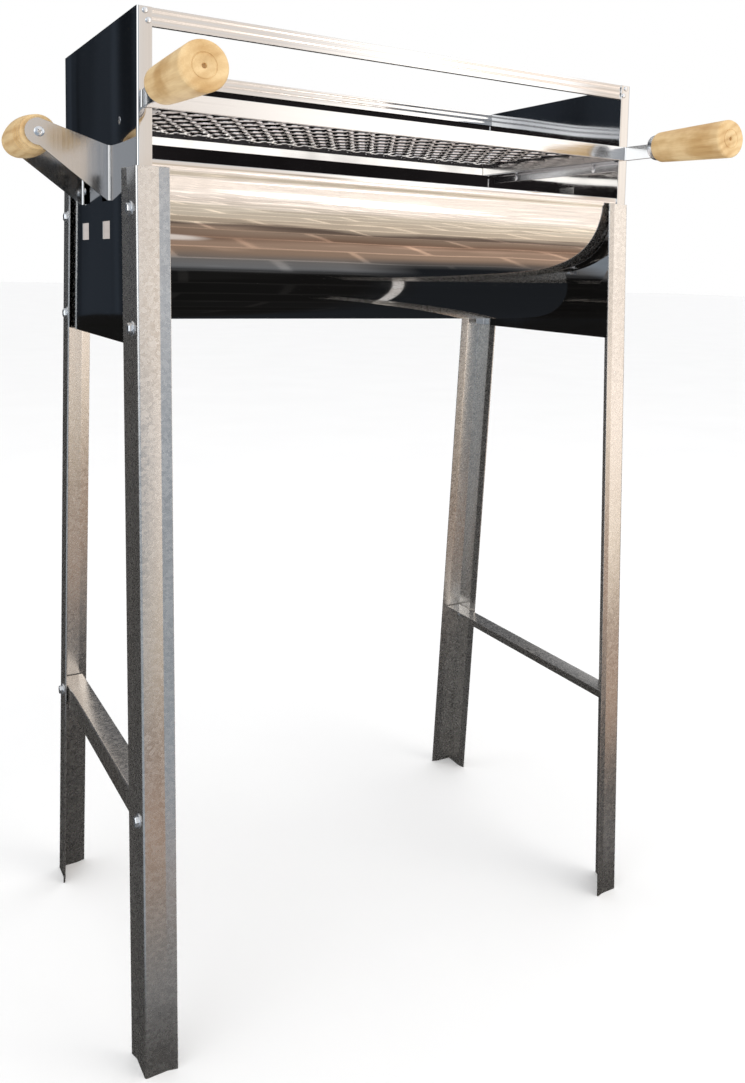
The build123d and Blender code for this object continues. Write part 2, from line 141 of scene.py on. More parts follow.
def span(tree, value, low, high, start=0.0, stop=1.0):
    """A value moved from the range start to stop into low to high."""
    settings = {"Value": value, "From Min": start, "From Max": stop, "To Min": low, "To Max": high}
    return put(tree, "ShaderNodeMapRange", settings).outputs[0]


def new_material(name):
    """A material with its tree, Principled shader and object coordinates."""
    material = bpy.data.materials.new(name)
    material.use_nodes = True
    tree = material.node_tree
    place = put(tree, "ShaderNodeTexCoord").outputs["Object"]
    return material, tree, tree.nodes["Principled BSDF"], place


def glowing_material(name):
    """A material that starts with its object coordinates only, for a glow to end."""
    material = bpy.data.materials.new(name)
    material.use_nodes = True
    tree = material.node_tree
    tree.nodes.clear()
    return material, tree, put(tree, "ShaderNodeTexCoord").outputs["Object"]


def glow(tree, colour, strength=1.0):
    """End a glowing material in its emission."""
    emission = put(tree, "ShaderNodeEmission", {"Color": colour, "Strength": strength})
    put(tree, "ShaderNodeOutputMaterial", {0: emission.outputs[0]})


def wire(tree, shader, **inputs):
    """Link or set the Principled shader's inputs by name."""
    for name, value in inputs.items():
        socket = shader.inputs[name.replace("_", " ")]
        if isinstance(value, bpy.types.NodeSocket):
            tree.links.new(value, socket)
        else:
            socket.default_value = value


def bump(tree, height, distance, strength=1.0, below=None):
    """A bump's normal, on top of another one."""
    settings = {"Height": height, "Distance": distance, "Strength": strength}
    if below is not None:
        settings["Normal"] = below
    return put(tree, "ShaderNodeBump", settings).outputs[0]


# ------------ materials
def stainless_material(name, grain, wave=1.0, gloss=(0.03, 0.075), painted_brightness=1.0):
    """Bright-rolled stainless sheet: a mirror with rolling streaks, smudges and slight waves; its colour
    is scaled by a painted brightness, painted shade below 1 and painted light above 1.
    """
    material, tree, shader, place = new_material(name)
    streaks = noise(tree, place, 1.0, 4.0, grain)
    smudges = noise(tree, place, 9.0, 5.0)
    waves = noise(tree, place, 5.5, 1.0)
    # Colour scaled by the painted brightness: painted shade below 1, painted light above 1.
    low = (0.69 * painted_brightness, 0.675 * painted_brightness, 0.66 * painted_brightness, 1)
    high = (0.78 * painted_brightness, 0.77 * painted_brightness, 0.76 * painted_brightness, 1)
    colour = blend_colour(tree, streaks, low, high)
    spots = ramp(tree, smudges, (0.55, grey(0.0)), (0.78, grey(1.0)))
    streak_roughness = span(tree, streaks, gloss[0], gloss[1], 0.3, 0.7)
    roughness = maths(tree, "ADD", streak_roughness, maths(tree, "MULTIPLY", spots, 0.05))
    ripple = bump(tree, waves, 0.006 * wave, 0.35)
    normal = bump(tree, streaks, 0.00002, 0.08, ripple)
    wire(tree, shader, Base_Color=colour, Metallic=1.0, Roughness=roughness, Normal=normal)
    return material


def galvanised_material(name, colour_low, colour_high, roughness, metal):
    """Zinc-coated sheet with its small crystals, stains and handling marks."""
    material, tree, shader, place = new_material(name)
    warp = put(tree, "ShaderNodeTexNoise", {"Vector": place, "Scale": 140.0, "Detail": 2.0})
    offset = put(tree, "ShaderNodeVectorMath", {0: warp.outputs[1], "Scale": 0.003}, operation="SCALE")
    warped = vector_maths(tree, "ADD", place, offset.outputs[0])
    cells = put(tree, "ShaderNodeTexVoronoi", {"Vector": warped, "Scale": 420.0})
    crystal = put(tree, "ShaderNodeSeparateColor", {0: cells.outputs["Color"]}).outputs[0]
    fine = noise(tree, place, 900.0, 3.0)
    stains = noise(tree, place, 11.0, 5.0, (1, 1, 0.3))
    tone = maths(tree, "ADD", maths(tree, "MULTIPLY", crystal, 0.5), maths(tree, "MULTIPLY", fine, 0.5))
    base = blend_colour(tree, tone, (*colour_low, 1), (*colour_high, 1))
    dull = ramp(tree, stains, (0.40, grey(1.0)), (0.72, (0.86, 0.83, 0.80)))
    colour = tinted(tree, base, dull)
    rough = maths(tree, "ADD", span(tree, crystal, *roughness), span(tree, stains, -0.03, 0.05))
    normal = bump(tree, fine, 0.00003, 0.10)
    wire(tree, shader, Base_Color=colour, Metallic=metal, Roughness=rough, Normal=normal)
    return material


PITH_OFFSET = Vector((0.031, 0.0, -0.052))
RING_SPACING = 0.0068
RING_DRIFT = 0.011


def pine_material(name, centre):
    """Lathe-turned pine along Y: faint growth rings round an off-centre pith, fibres and varnish."""
    material, tree, shader, place = new_material(name)
    local = vector_maths(tree, "SUBTRACT", place, Vector(centre) + PITH_OFFSET)
    flat = vector_maths(tree, "MULTIPLY", local, (1, 0.06, 1))
    distance = vector_maths(tree, "LENGTH", flat, result="Value")
    drift = noise(tree, place, 34.0, 3.0, (1, 0.35, 1))
    drifted = maths(tree, "ADD", distance, maths(tree, "MULTIPLY", drift, RING_DRIFT))
    rings = maths(tree, "SINE", maths(tree, "MULTIPLY", drifted, 2 * math.pi / RING_SPACING))
    ring = span(tree, rings, 0.0, 1.0, -1.0, 1.0)
    strong = ramp(tree, ring, (0.0, grey(0.0)), (0.5, grey(0.2)), (1.0, grey(0.62)))
    fade = ramp(tree, noise(tree, place, 22.0, 3.0, (1, 0.5, 1)), (0.38, grey(0.15)), (0.66, grey(1.0)))
    late = maths(tree, "MULTIPLY", strong, fade)
    fibres = noise(tree, place, 1.0, 4.0, (1300, 30, 1300))
    patches = noise(tree, place, 42.0, 4.0, (1, 0.6, 1))
    wood = blend_colour(tree, late, (0.84, 0.62, 0.33, 1), (0.58, 0.33, 0.11, 1))
    fibre_tone = ramp(tree, fibres, (0.30, (0.90, 0.85, 0.78)), (0.62, grey(1.0)))
    patch_tone = ramp(tree, patches, (0.36, (0.76, 0.66, 0.52)), (0.58, grey(1.0)))
    colour = tinted(tree, tinted(tree, wood, fibre_tone), patch_tone)
    rough = span(tree, fibres, 0.36, 0.55)
    grain = bump(tree, fibres, 0.0001, 0.5)
    normal = bump(tree, late, 0.0001, 0.3, grain)
    wire(tree, shader, Base_Color=colour, Roughness=rough, Normal=normal)
    wire(tree, shader, Coat_Weight=0.15, Coat_Roughness=0.3)
    return material


def zinc_material():
    """Bright zinc plating of the bolts, nuts, rivets and screws."""
    material, tree, shader, place = new_material("zinc_plate")
    tint = noise(tree, place, 160.0, 3.0)
    colour = blend_colour(tree, tint, (0.70, 0.73, 0.77, 1), (0.90, 0.91, 0.92, 1))
    rough = span(tree, noise(tree, place, 500.0, 2.0), 0.16, 0.36)
    normal = bump(tree, tint, 0.0001, 0.4)
    wire(tree, shader, Base_Color=colour, Metallic=0.92, Roughness=rough, Normal=normal)
    return material


UPRIGHT_GRAIN = (700, 700, 4)
LENGTHWISE_GRAIN = (4, 700, 700)
TROUGH_GRAIN = (3, 300, 300)
MATERIALS = {
    "panel": stainless_material("stainless_panel", UPRIGHT_GRAIN, wave=0.5),
    "trough": stainless_material("stainless_trough", TROUGH_GRAIN, gloss=(0.03, 0.05)),
    "rail": stainless_material("stainless_rail", LENGTHWISE_GRAIN, wave=0.3, gloss=(0.06, 0.14)),
    # The arms' stainless is a darker copy: painted shade for the dark reflections they show.
    "arm": stainless_material("stainless_arm_painted_dark", UPRIGHT_GRAIN, wave=1.6, gloss=(0.10, 0.18), painted_brightness=0.8),
    "bar": stainless_material("grate_bar_steel", LENGTHWISE_GRAIN, wave=0.3, gloss=(0.10, 0.20)),
    "galvanised": galvanised_material(
        "galvanised_leg", (0.64, 0.615, 0.59), (0.90, 0.87, 0.83), roughness=(0.20, 0.30), metal=0.93
    ),
    "ledge": galvanised_material(
        "galvanised_ledge", (0.40, 0.41, 0.43), (0.54, 0.55, 0.57), roughness=(0.10, 0.18), metal=0.98
    ),
    "mesh": galvanised_material(
        "grate_mesh_steel", (0.66, 0.62, 0.60), (0.90, 0.86, 0.84), roughness=(0.14, 0.24), metal=1.0
    ),
    # The rear bar's stainless is a brighter copy: painted light for the light falling through the mesh
    # onto it.
    "rear_bar": stainless_material(
        "grate_rear_bar_painted_bright_steel", LENGTHWISE_GRAIN, wave=0.3, gloss=(0.12, 0.22), painted_brightness=1.1
    ),
    "zinc": zinc_material(),
}


# ------------ mesh helpers
TINY = 1e-9
MERGE_DISTANCE = 1e-7
WELD_DISTANCE = 1e-6
BEVEL_ANGLE = math.radians(50)


def make_piece(node, shapes, body, material, bevel=0.0, smooth=35):
    """One object from (vertices, faces) shapes, riding its body in place of its CAD node."""
    vertices, faces = [], []
    for points, rings in shapes:
        start = len(vertices)
        vertices.extend(points)
        faces.extend([start + index for index in ring] for ring in rings)
    mesh = bpy.data.meshes.new(f"visual_{node}")
    mesh.from_pydata([tuple(point) for point in vertices], [], faces)
    edit = bmesh.new()
    edit.from_mesh(mesh)
    bmesh.ops.remove_doubles(edit, verts=edit.verts, dist=MERGE_DISTANCE)
    bmesh.ops.recalc_face_normals(edit, faces=edit.faces)
    edit.to_mesh(mesh)
    edit.free()
    for polygon in mesh.polygons:
        polygon.use_smooth = True
    mesh.set_sharp_from_angle(angle=math.radians(smooth))
    mesh.materials.append(material)
    piece = new_object(f"visual_{node}", mesh)
    if bevel:
        soft = piece.modifiers.new("edge", "BEVEL")
        soft.width = bevel
        soft.segments = 2
        soft.limit_method = "ANGLE"
        soft.angle_limit = BEVEL_ANGLE
        soft.harden_normals = True
    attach(piece, body)
    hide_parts(node)


def mirrored(shape):
    """A shape's mirror image on the other side of the object."""
    points, rings = shape
    return [(-x, y, z) for x, y, z in points], [list(reversed(ring)) for ring in rings]


def make_pair(name, shape, body, material, bevel):
    """A left piece and its mirror image, in place of the CAD nodes name_left and name_right."""
    for side, side_shape in (("left", shape), ("right", mirrored(shape))):
        make_piece(f"{name}_{side}", [side_shape], body, material, bevel)


def evenly(start, stop, count):
    """Places from start to stop, with count equal steps between them."""
    return [start + (stop - start) * step / count for step in range(count + 1)]


def middle(low, high):
    """The middle of a box."""
    return (low + high) / 2


NEARLY_STRAIGHT = math.radians(89)
SHARPEST_MITRE = 0.3


def bent(path, radius, steps=5):
    """A path whose corners are rounded to arcs."""
    points = [Vector(point) for point in path]
    result = [points[0]]
    for before, corner, after in zip(points, points[1:], points[2:]):
        back = (before - corner).normalized()
        ahead = (after - corner).normalized()
        half = back.angle(ahead) / 2
        if half > NEARLY_STRAIGHT:
            result.append(corner)
            continue
        reach = radius / math.tan(half)
        start, stop = corner + back * reach, corner + ahead * reach
        centre = corner + (back + ahead).normalized() * (radius / math.sin(half))
        for step in range(steps + 1):
            chord = start.lerp(stop, step / steps) - centre
            result.append(centre + chord.normalized() * radius)
    result.append(points[-1])
    return result


def shifted(path, distance):
    """A path moved sideways to its left by a distance."""
    result = []
    for index, point in enumerate(path):
        before = path[max(index - 1, 0)]
        after = path[min(index + 1, len(path) - 1)]
        sides = []
        for start, stop in ((before, point), (point, after)):
            if (stop - start).length > TINY:
                along = (stop - start).normalized()
                sides.append(Vector((-along.y, along.x)))
        mitre = sum(sides, Vector((0, 0))).normalized()
        result.append(point + mitre * (distance / max(mitre.dot(sides[0]), SHARPEST_MITRE)))
    return result


def thick_sheet(outer, inner, keep=lambda i, j: True):
    """Closed sheet between two equal grids of points; keep says which cells are metal."""
    rows, columns = len(outer), len(outer[0])
    vertices = [point for grid in (outer, inner) for row in grid for point in row]
    solid = {(i, j) for i, j in product(range(rows - 1), range(columns - 1)) if keep(i, j)}

    def index(side, place):
        return (side * rows + place[0]) * columns + place[1]

    faces = []
    for i, j in sorted(solid):
        ring = [(i, j), (i + 1, j), (i + 1, j + 1), (i, j + 1)]
        faces.append([index(0, place) for place in ring])
        faces.append([index(1, place) for place in reversed(ring)])
        for corner, neighbour in enumerate(((i, j - 1), (i + 1, j), (i, j + 1), (i - 1, j))):
            if neighbour not in solid:
                first, second = ring[corner], ring[(corner + 1) % 4]
                faces.append([index(0, second), index(0, first), index(1, first), index(1, second)])
    used = sorted({number for ring in faces for number in ring})
    renumber = {number: count for count, number in enumerate(used)}
    rings = [[renumber[number] for number in ring] for ring in faces]
    return [vertices[number] for number in used], rings


def folded(path, thickness, stations, place, keep=lambda i, j: True):
    """A folded sheet: a flat path, given thickness to its left and carried through stations."""

    def carried(line):
        return [[place(point.x, point.y, station) for station in stations] for point in line]

    return thick_sheet(carried(path), carried(shifted(path, thickness)), keep)


def bar(low, high):
    """A straight bar between two corners, divided along its length."""
    axis = max(range(3), key=lambda k: high[k] - low[k])
    first, second = (k for k in range(3) if k != axis)

    def edge(one, two):
        points = []
        for station in evenly(low[axis], high[axis], 8):
            point = [0.0, 0.0, 0.0]
            point[axis], point[first], point[second] = station, one, two
            points.append(tuple(point))
        return points

    sides = [[edge(one, two) for two in (low[second], high[second])] for one in (low[first], high[first])]
    return thick_sheet(*sides)


def turned(profile, count):
    """A body of revolution round Z with count sides, from (radius, height) points; zero radii close it."""
    vertices, rings = [], []
    for radius, height in profile:
        if radius < TINY:
            rings.append([len(vertices)])
            vertices.append((0.0, 0.0, height))
            continue
        rings.append(list(range(len(vertices), len(vertices) + count)))
        for step in range(count):
            angle = 2 * math.pi * step / count
            vertices.append((radius * math.cos(angle), radius * math.sin(angle), height))
    faces = []
    for lower, upper in zip(rings, rings[1:]):
        for step in range(count):
            following = (step + 1) % count
            corners = [lower[step % len(lower)], lower[following % len(lower)]]
            corners += [upper[following % len(upper)], upper[step % len(upper)]]
            faces.append(list(dict.fromkeys(corners)))
    return vertices, faces


def moved(shape, place, direction, spin=0.0):
    """A shape built along +Z, turned to point along a direction and put in place."""
    aim = Vector((0, 0, 1)).rotation_difference(Vector(direction)).to_matrix().to_4x4()
    matrix = Matrix.Translation(place) @ aim @ Matrix.Rotation(spin, 4, "Z")
    points, rings = shape
    return [tuple(matrix @ Vector(point)) for point in points], rings


def solids(node):
    """The (lowest, highest) corners of each separate solid in a CAD node."""
    edit = bmesh.new()
    edit.from_mesh(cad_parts[node].data)
    bmesh.ops.remove_doubles(edit, verts=edit.verts, dist=WELD_DISTANCE)
    waiting = set(edit.verts)
    found = []
    while waiting:
        group, edge = [], [waiting.pop()]
        while edge:
            vertex = edge.pop()
            group.append(vertex.co.copy())
            for link in vertex.link_edges:
                other = link.other_vert(vertex)
                if other in waiting:
                    waiting.remove(other)
                    edge.append(other)
        low = Vector(min(point[k] for point in group) for k in range(3))
        high = Vector(max(point[k] for point in group) for k in range(3))
        found.append((low, high))
    edit.free()
    return sorted(found, key=lambda pair: tuple(pair[0]))


# ------------ sizes from the frame, and the sheets it is made of
PANEL_LOW, PANEL_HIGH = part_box("end_panel_left")
TROUGH_LOW, TROUGH_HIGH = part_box("trough_sheet")
RAIL_LOW, RAIL_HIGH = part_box("front_top_rail")
LEFT = PANEL_LOW.x
FRONT = PANEL_LOW.y
BACK = PANEL_HIGH.y
TOP = PANEL_HIGH.z
MIDDLE_Y = (FRONT + BACK) / 2
SHEET = 1.2 * MM
TROUGH_SHEET = 1.0 * MM
FOLD_RADIUS = 2.0 * MM
DRUM_RADIUS = (BACK - FRONT) / 2 - SHEET
DRUM_AXIS = TROUGH_LOW.z + DRUM_RADIUS
RIM_TOP = TOP - 115 * MM


# ------------ end panels
SLOT_TOP = TOP - 161.5 * MM
SLOT_HEIGHT = 15 * MM
SLOT_LENGTH = 24 * MM
SLOT_STARTS = (FRONT + 86 * MM, FRONT + 164 * MM)


def build_end_panels():
    """Plates with turned-in flanges and two vent slots."""
    slot_spans = [(start, start + SLOT_LENGTH) for start in SLOT_STARTS]
    edge = PANEL_HIGH.x
    web = [(LEFT, y) for pair in slot_spans for y in pair]
    path = bent([(edge, FRONT), (LEFT, FRONT), *web, (LEFT, BACK), (edge, BACK)], FOLD_RADIUS)
    stations = [PANEL_LOW.z, SLOT_TOP - SLOT_HEIGHT, SLOT_TOP, TOP]

    def metal(i, j):
        centre = (path[i].y + path[i + 1].y) / 2
        in_slot = any(start < centre < stop for start, stop in slot_spans)
        return not (in_slot and j == 1)

    shape = folded(path, -SHEET, stations, lambda x, y, z: (x, y, z), metal)
    make_pair("end_panel", shape, "body", MATERIALS["panel"], 0.25 * MM)


# ------------ trough and back wall
HEM_HEIGHT = 8 * MM
HEM_FOLD = 2.4 * MM
HEM_BEND = 0.9 * MM
HEM_TAPER = 1.4 * MM
STEP_IN = 0.8 * MM
DRUM_STEPS = 72


def build_trough():
    """Half drum with a hemmed rim; the sheet goes up behind as the back wall."""
    face = FRONT + SHEET
    hem_low = RIM_TOP - HEM_HEIGHT
    radius = DRUM_RADIUS - STEP_IN
    hem = [(face + HEM_FOLD, hem_low), (face + HEM_FOLD, RIM_TOP), (face, RIM_TOP), (face, hem_low)]
    path = bent(hem, HEM_BEND, 4)
    path.append(Vector((face + STEP_IN, hem_low - HEM_TAPER)))
    for number in range(1, DRUM_STEPS + 1):
        angle = math.pi * (1 + number / DRUM_STEPS)
        height = DRUM_AXIS + radius * math.sin(angle)
        if height < path[-1].y or number > DRUM_STEPS / 2:
            path.append(Vector((MIDDLE_Y + radius * math.cos(angle), height)))
    path.append(Vector((MIDDLE_Y + radius, TROUGH_HIGH.z)))
    stations = evenly(-TROUGH_HIGH.x, TROUGH_HIGH.x, 24)
    shape = folded(path, TROUGH_SHEET, stations, lambda y, z, x: (x, y, z))
    make_piece("trough_sheet", [shape], "body", MATERIALS["trough"], 0.2 * MM)


# ------------ top rails
RAIL_DEPTH = 5.0 * MM
RAIL_SHEET = 0.7 * MM
RAIL_BEND = 0.35 * MM
RAIL_FLAT = 1.6 * MM
BEAD_DEPTH = 0.45 * MM
BEAD_STEPS = 24


def rail_path(face):
    """Folded rail seen from its end, with two soft beads pressed along its face."""
    height = TOP - RAIL_LOW.z
    profile = [(RAIL_DEPTH, -height), (RAIL_DEPTH, 0.0), (0.0, 0.0), (0.0, -RAIL_FLAT)]
    for step in range(1, BEAD_STEPS):
        share = step / BEAD_STEPS
        bead = BEAD_DEPTH * math.sin(2 * math.pi * share) ** 2
        profile.append((bead, -RAIL_FLAT - (height - 2 * RAIL_FLAT) * share))
    profile += [(0.0, RAIL_FLAT - height), (0.0, -height)]
    return bent([(face + depth, TOP + drop) for depth, drop in profile], RAIL_BEND, 2)


def build_rails():
    """The folded strips along the top, front and back."""
    stations = evenly(-RAIL_HIGH.x, RAIL_HIGH.x, 12)
    faces = {"front_top_rail": FRONT + SHEET, "back_top_rail": BACK - SHEET - TROUGH_SHEET - RAIL_DEPTH}
    for node, face in faces.items():
        shape = folded(rail_path(face), RAIL_SHEET, stations, lambda y, z, x: (x, y, z))
        make_piece(node, [shape], "body", MATERIALS["rail"], 0.12 * MM)


# ------------ legs and braces
LEG_SHEET = 1.5 * MM
LEG_SIDE = 26 * MM
LEG_END = 18 * MM
LEG_LIP = 8 * MM
LEG_FLARE = 2.2 * MM
LEG_BEND = 2.2 * MM
BRACE_SHEET = 1.5 * MM
LEDGE_DROP = 0.15 * MM


def build_legs():
    """Roll-formed angles whose free edges flare outwards; feet and tops are cut level."""
    for end, inward in (("front", 1), ("back", -1)):
        low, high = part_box(f"leg_{end}_left")
        top = high.z
        outer = LEFT - LEG_SHEET
        foot = low.y + LEG_FLARE if end == "front" else high.y - LEG_FLARE
        head = FRONT - LEG_SHEET if end == "front" else BACK + LEG_SHEET
        path = bent(
            [
                (outer - LEG_FLARE, inward * (LEG_SIDE + LEG_LIP)),
                (outer, inward * LEG_SIDE),
                (outer, 0.0),
                (outer + LEG_END, 0.0),
                (outer + LEG_END + LEG_LIP, -inward * LEG_FLARE),
            ],
            LEG_BEND,
        )

        def place(x, y, z, foot=foot, head=head, top=top):
            return (x, y + foot + (head - foot) * z / top, z)

        shape = folded(path, inward * LEG_SHEET, evenly(0.0, top, 16), place)
        make_pair(f"leg_{end}", shape, "body", MATERIALS["galvanised"], 0.3 * MM)


def build_angles():
    """The side braces, and the ledges that carry the grate a hair below its bars."""
    for name, thickness, drop, grade in (
        ("side_brace", BRACE_SHEET, 0.0, "galvanised"),
        ("grate_ledge", SHEET, LEDGE_DROP, "ledge"),
    ):
        low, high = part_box(f"{name}_left")
        top = high.z - drop
        path = bent([(low.x, low.z), (low.x, top), (high.x, top)], FOLD_RADIUS)
        shape = folded(path, -thickness, evenly(low.y, high.y, 10), lambda x, z, y: (x, y, z))
        make_pair(name, shape, "body", MATERIALS[grade], 0.25 * MM)


# ------------ carrying handles
ARM_SHEET = 1.5 * MM
ARM_FLANGE = 26.5 * MM
ARM_ROOT_LOW = TOP - 144.5 * MM
ARM_ROOT_HIGH = TOP - 98.5 * MM
EYE_RADIUS = 11 * MM
ARM_STEPS = 20
EYE_STEPS = 15


def build_carry_arms():
    """Tapered sheet arms: a riveted flange, a bend, and an eye round the grip's screw."""
    eye = middle(*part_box("carry_grip_left"))
    for where, inward in (("front", 1), ("rear", -1)):
        low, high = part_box(f"carry_arm_{where}_left")
        plane = low.y if where == "front" else high.y
        flange = bent([(LEFT, plane + inward * ARM_FLANGE), (LEFT, plane), (eye.x, plane)], FOLD_RADIUS)
        spans = [(ARM_ROOT_LOW, ARM_ROOT_HIGH)] * (len(flange) - 1)
        arm_start, arm_stop = flange[-2], flange[-1]
        path = flange[:-1]
        for step in range(1, ARM_STEPS + 1):
            share = step / ARM_STEPS
            path.append(Vector((arm_start.x + (arm_stop.x - arm_start.x) * share, plane)))
            low_edge = ARM_ROOT_LOW + (eye.z - EYE_RADIUS - ARM_ROOT_LOW) * share
            high_edge = ARM_ROOT_HIGH + (eye.z + EYE_RADIUS - ARM_ROOT_HIGH) * share
            spans.append((low_edge, high_edge))
        for step in range(1, EYE_STEPS):
            angle = math.pi / 2 * step / EYE_STEPS
            path.append(Vector((eye.x - EYE_RADIUS * math.sin(angle), plane)))
            reach = EYE_RADIUS * math.cos(angle)
            spans.append((eye.z - reach, eye.z + reach))
        grids = []
        for line in (path, shifted(path, inward * ARM_SHEET)):
            pairs = zip(line, spans)
            grids.append([[(point.x, point.y, z) for z in evenly(*edges, 8)] for point, edges in pairs])
        make_pair(f"carry_arm_{where}", thick_sheet(*grids), "body", MATERIALS["arm"], 0.3 * MM)


GRIP_END_RADIUS = 14.0 * MM
GRIP_MIDDLE_RADIUS = 16.9 * MM
GRIP_ROUND = 1.6 * MM
GRIP_STEPS = 150
GROOVE_DEPTH = 0.9 * MM
GROOVE_HALF = 1.3 * MM
GROOVES = (7 * MM, 14 * MM, 21 * MM)


def turned_grip_profile(length):
    """Barrel-shaped grip with rounded ends and three turned grooves near each end."""
    profile = [(0.0, 0.0), (GRIP_END_RADIUS - GRIP_ROUND, 0.0)]
    for along in evenly(0.0, length, GRIP_STEPS):
        swell = math.sin(math.pi * along / length)
        radius = GRIP_END_RADIUS + (GRIP_MIDDLE_RADIUS - GRIP_END_RADIUS) * swell
        from_end = min(along, length - along)
        nearest = min(abs(from_end - groove) for groove in GROOVES)
        if nearest < GROOVE_HALF:
            radius -= GROOVE_DEPTH * math.cos(math.pi / 2 * nearest / GROOVE_HALF)
        if from_end < GRIP_ROUND:
            radius -= GRIP_ROUND - math.sqrt(max(GRIP_ROUND**2 - (GRIP_ROUND - from_end) ** 2, 0))
        profile.append((radius, along))
    profile += [(GRIP_END_RADIUS - GRIP_ROUND, length), (0.0, length)]
    return profile


def make_turned(node, profile, count, way, body, wood=None):
    """A piece turned along Y that fills its CAD node's box, of pine or of zinc-plated metal."""
    low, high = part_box(node)
    axis = middle(low, high)
    start = low.y if way > 0 else high.y
    shape = moved(turned(profile(high.y - low.y), count), (axis.x, start, axis.z), (0, way, 0))
    material = pine_material(wood, (axis.x, 0.0, axis.z)) if wood else MATERIALS["zinc"]
    make_piece(node, [shape], body, material, smooth=50)


def build_carry_grips():
    """Turned wooden grips between the arms."""
    for side in ("left", "right"):
        make_turned(f"carry_grip_{side}", turned_grip_profile, 72, 1, "body", f"pine_carry_{side}")


# ------------ grate
BAR_THICKNESS = 2.5 * MM
TANG_BEND = 4.0 * MM
TANG_IN_FERRULE = 2 * MM


def build_grate_frame():
    """Flat bars: the front one turns forward at its ends into the handles' tangs."""
    low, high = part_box("grate_front_bar")
    tang_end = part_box("handle_ferrule_left")[0].y + TANG_IN_FERRULE
    corners = [(low.x, tang_end), (low.x, high.y), (high.x, high.y), (high.x, tang_end)]
    path = bent(corners, TANG_BEND, 6)
    front_bar = folded(path, -BAR_THICKNESS, [low.z, high.z], lambda x, y, z: (x, y, z))
    rear_bar = bar(*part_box("grate_rear_bar"))
    side_bar = bar(*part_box("grate_side_bar_left"))
    make_piece("grate_front_bar", [front_bar], "grate", MATERIALS["bar"], 0.5 * MM)
    make_piece("grate_rear_bar", [rear_bar], "grate", MATERIALS["rear_bar"], 0.5 * MM)
    make_pair("grate_side_bar", side_bar, "grate", MATERIALS["bar"], 0.5 * MM)


MESH_LONG = 46 * MM
MESH_SHORT = 23.2 * MM
STRAND_WIDTH = 2.0 * MM
STRAND_THICKNESS = 0.9 * MM
STRAND_TWIST = math.radians(24)
STRAND_SQUARENESS = 0.55
STRAND_OVERLAP = 0.7 * MM
MESH_DROP = 2.4 * MM
MESH_STEPS = 260


def strand_frame(ahead):
    """Across and through directions of a strand that twists where it crosses sideways."""
    twist = STRAND_TWIST * ahead.x / ahead.length
    side = Vector((ahead.y, -ahead.x, 0)).normalized()
    across = side * math.cos(twist) + Vector((0, 0, math.sin(twist)))
    return across, across.cross(ahead).normalized()


def strand(path, low_y, high_y):
    """One closed strand along its centre line, cut level with the mesh's front and back edges."""
    last = len(path) - 1
    frames = [strand_frame(path[min(step + 1, last)] - path[max(step - 1, 0)]) for step in range(last + 1)]
    grids = []
    for side in (-0.5, 0.5):
        lines = []
        for edge in (-0.5, 0.5):
            line = []
            for point, (across, through) in zip(path, frames):
                corner = point + across * edge * STRAND_WIDTH + through * side * STRAND_THICKNESS
                line.append((corner.x, min(max(corner.y, low_y), high_y), corner.z))
            lines.append(line)
        grids.append(lines)
    return thick_sheet(*grids)


def build_mesh():
    """Expanded metal: wavy twisted strands from front to back, joined where neighbours meet."""
    low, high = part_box("grate_mesh")
    count = int((high.x - low.x) / (MESH_SHORT / 2)) - 1
    first = (low.x + high.x) / 2 - (count - 1) * MESH_SHORT / 4
    reach = MESH_SHORT / 4 - STRAND_OVERLAP
    strands = []
    for number in range(count):
        path = []
        for y in evenly(low.y, high.y, MESH_STEPS):
            wave = math.sin(2 * math.pi * (y - low.y) / MESH_LONG)
            swell = math.copysign(abs(wave) ** STRAND_SQUARENESS, wave) * (1 if number % 2 else -1)
            path.append(Vector((first + number * MESH_SHORT / 2 + swell * reach, y, high.z - MESH_DROP)))
        strands.append(strand(path, low.y, high.y))
    make_piece("grate_mesh", strands, "grate", MATERIALS["mesh"], smooth=40)


HANDLE_ROOT_RADIUS = 14.5 * MM
HANDLE_END_RADIUS = 17.2 * MM
HANDLE_ROUND = 2.6 * MM
HANDLE_SHOULDER = 1.6 * MM
HANDLE_STEPS = 24


def handle_profile(length):
    """Tapered handle from its root to its end face, with a ring groove and a centre hole."""
    root, end = HANDLE_ROOT_RADIUS, HANDLE_END_RADIUS
    profile = [(0.0, 0.0), (root - 1.4 * MM, 0.0), (root - 0.4 * MM, 0.5 * MM), (root, HANDLE_SHOULDER)]
    for step in range(1, HANDLE_STEPS):
        share = step / HANDLE_STEPS
        along = HANDLE_SHOULDER + (length - HANDLE_ROUND - HANDLE_SHOULDER) * share
        profile.append((root + (end - root) * share**0.85, along))
    for angle in evenly(0.0, math.pi / 2, 8):
        radius = end - HANDLE_ROUND * (1 - math.cos(angle))
        profile.append((radius, length - HANDLE_ROUND * (1 - math.sin(angle))))
    ring_groove = [(9.0, 0.0), (8.7, 0.4), (8.3, 0.4), (8.0, 0.0)]
    centre_hole = [(2.2, 0.0), (1.8, 0.4), (1.7, 3.0), (0.0, 3.6)]
    profile += [(radius * MM, length - depth * MM) for radius, depth in ring_groove + centre_hole]
    return profile


def ferrule_profile(length):
    """Metal collar, rounded towards the tang and slightly towards the wood."""
    tang_end = [(0.0, 0.0), (9.5, 0.0), (11.0, 0.4), (12.0, 1.4), (12.4, 3.2)]
    wood_end = [(12.4, 1.2), (12.1, 0.3), (11.4, 0.0), (0.0, 0.0)]
    profile = [(radius * MM, height * MM) for radius, height in tang_end]
    return profile + [(radius * MM, length - depth * MM) for radius, depth in wood_end]


def build_grate_handles():
    """Metal ferrules and turned wooden handles on the tangs."""
    for side in ("left", "right"):
        make_turned(f"handle_ferrule_{side}", ferrule_profile, 56, -1, "grate")
        make_turned(f"handle_grip_{side}", handle_profile, 80, -1, "grate", f"pine_handle_{side}")


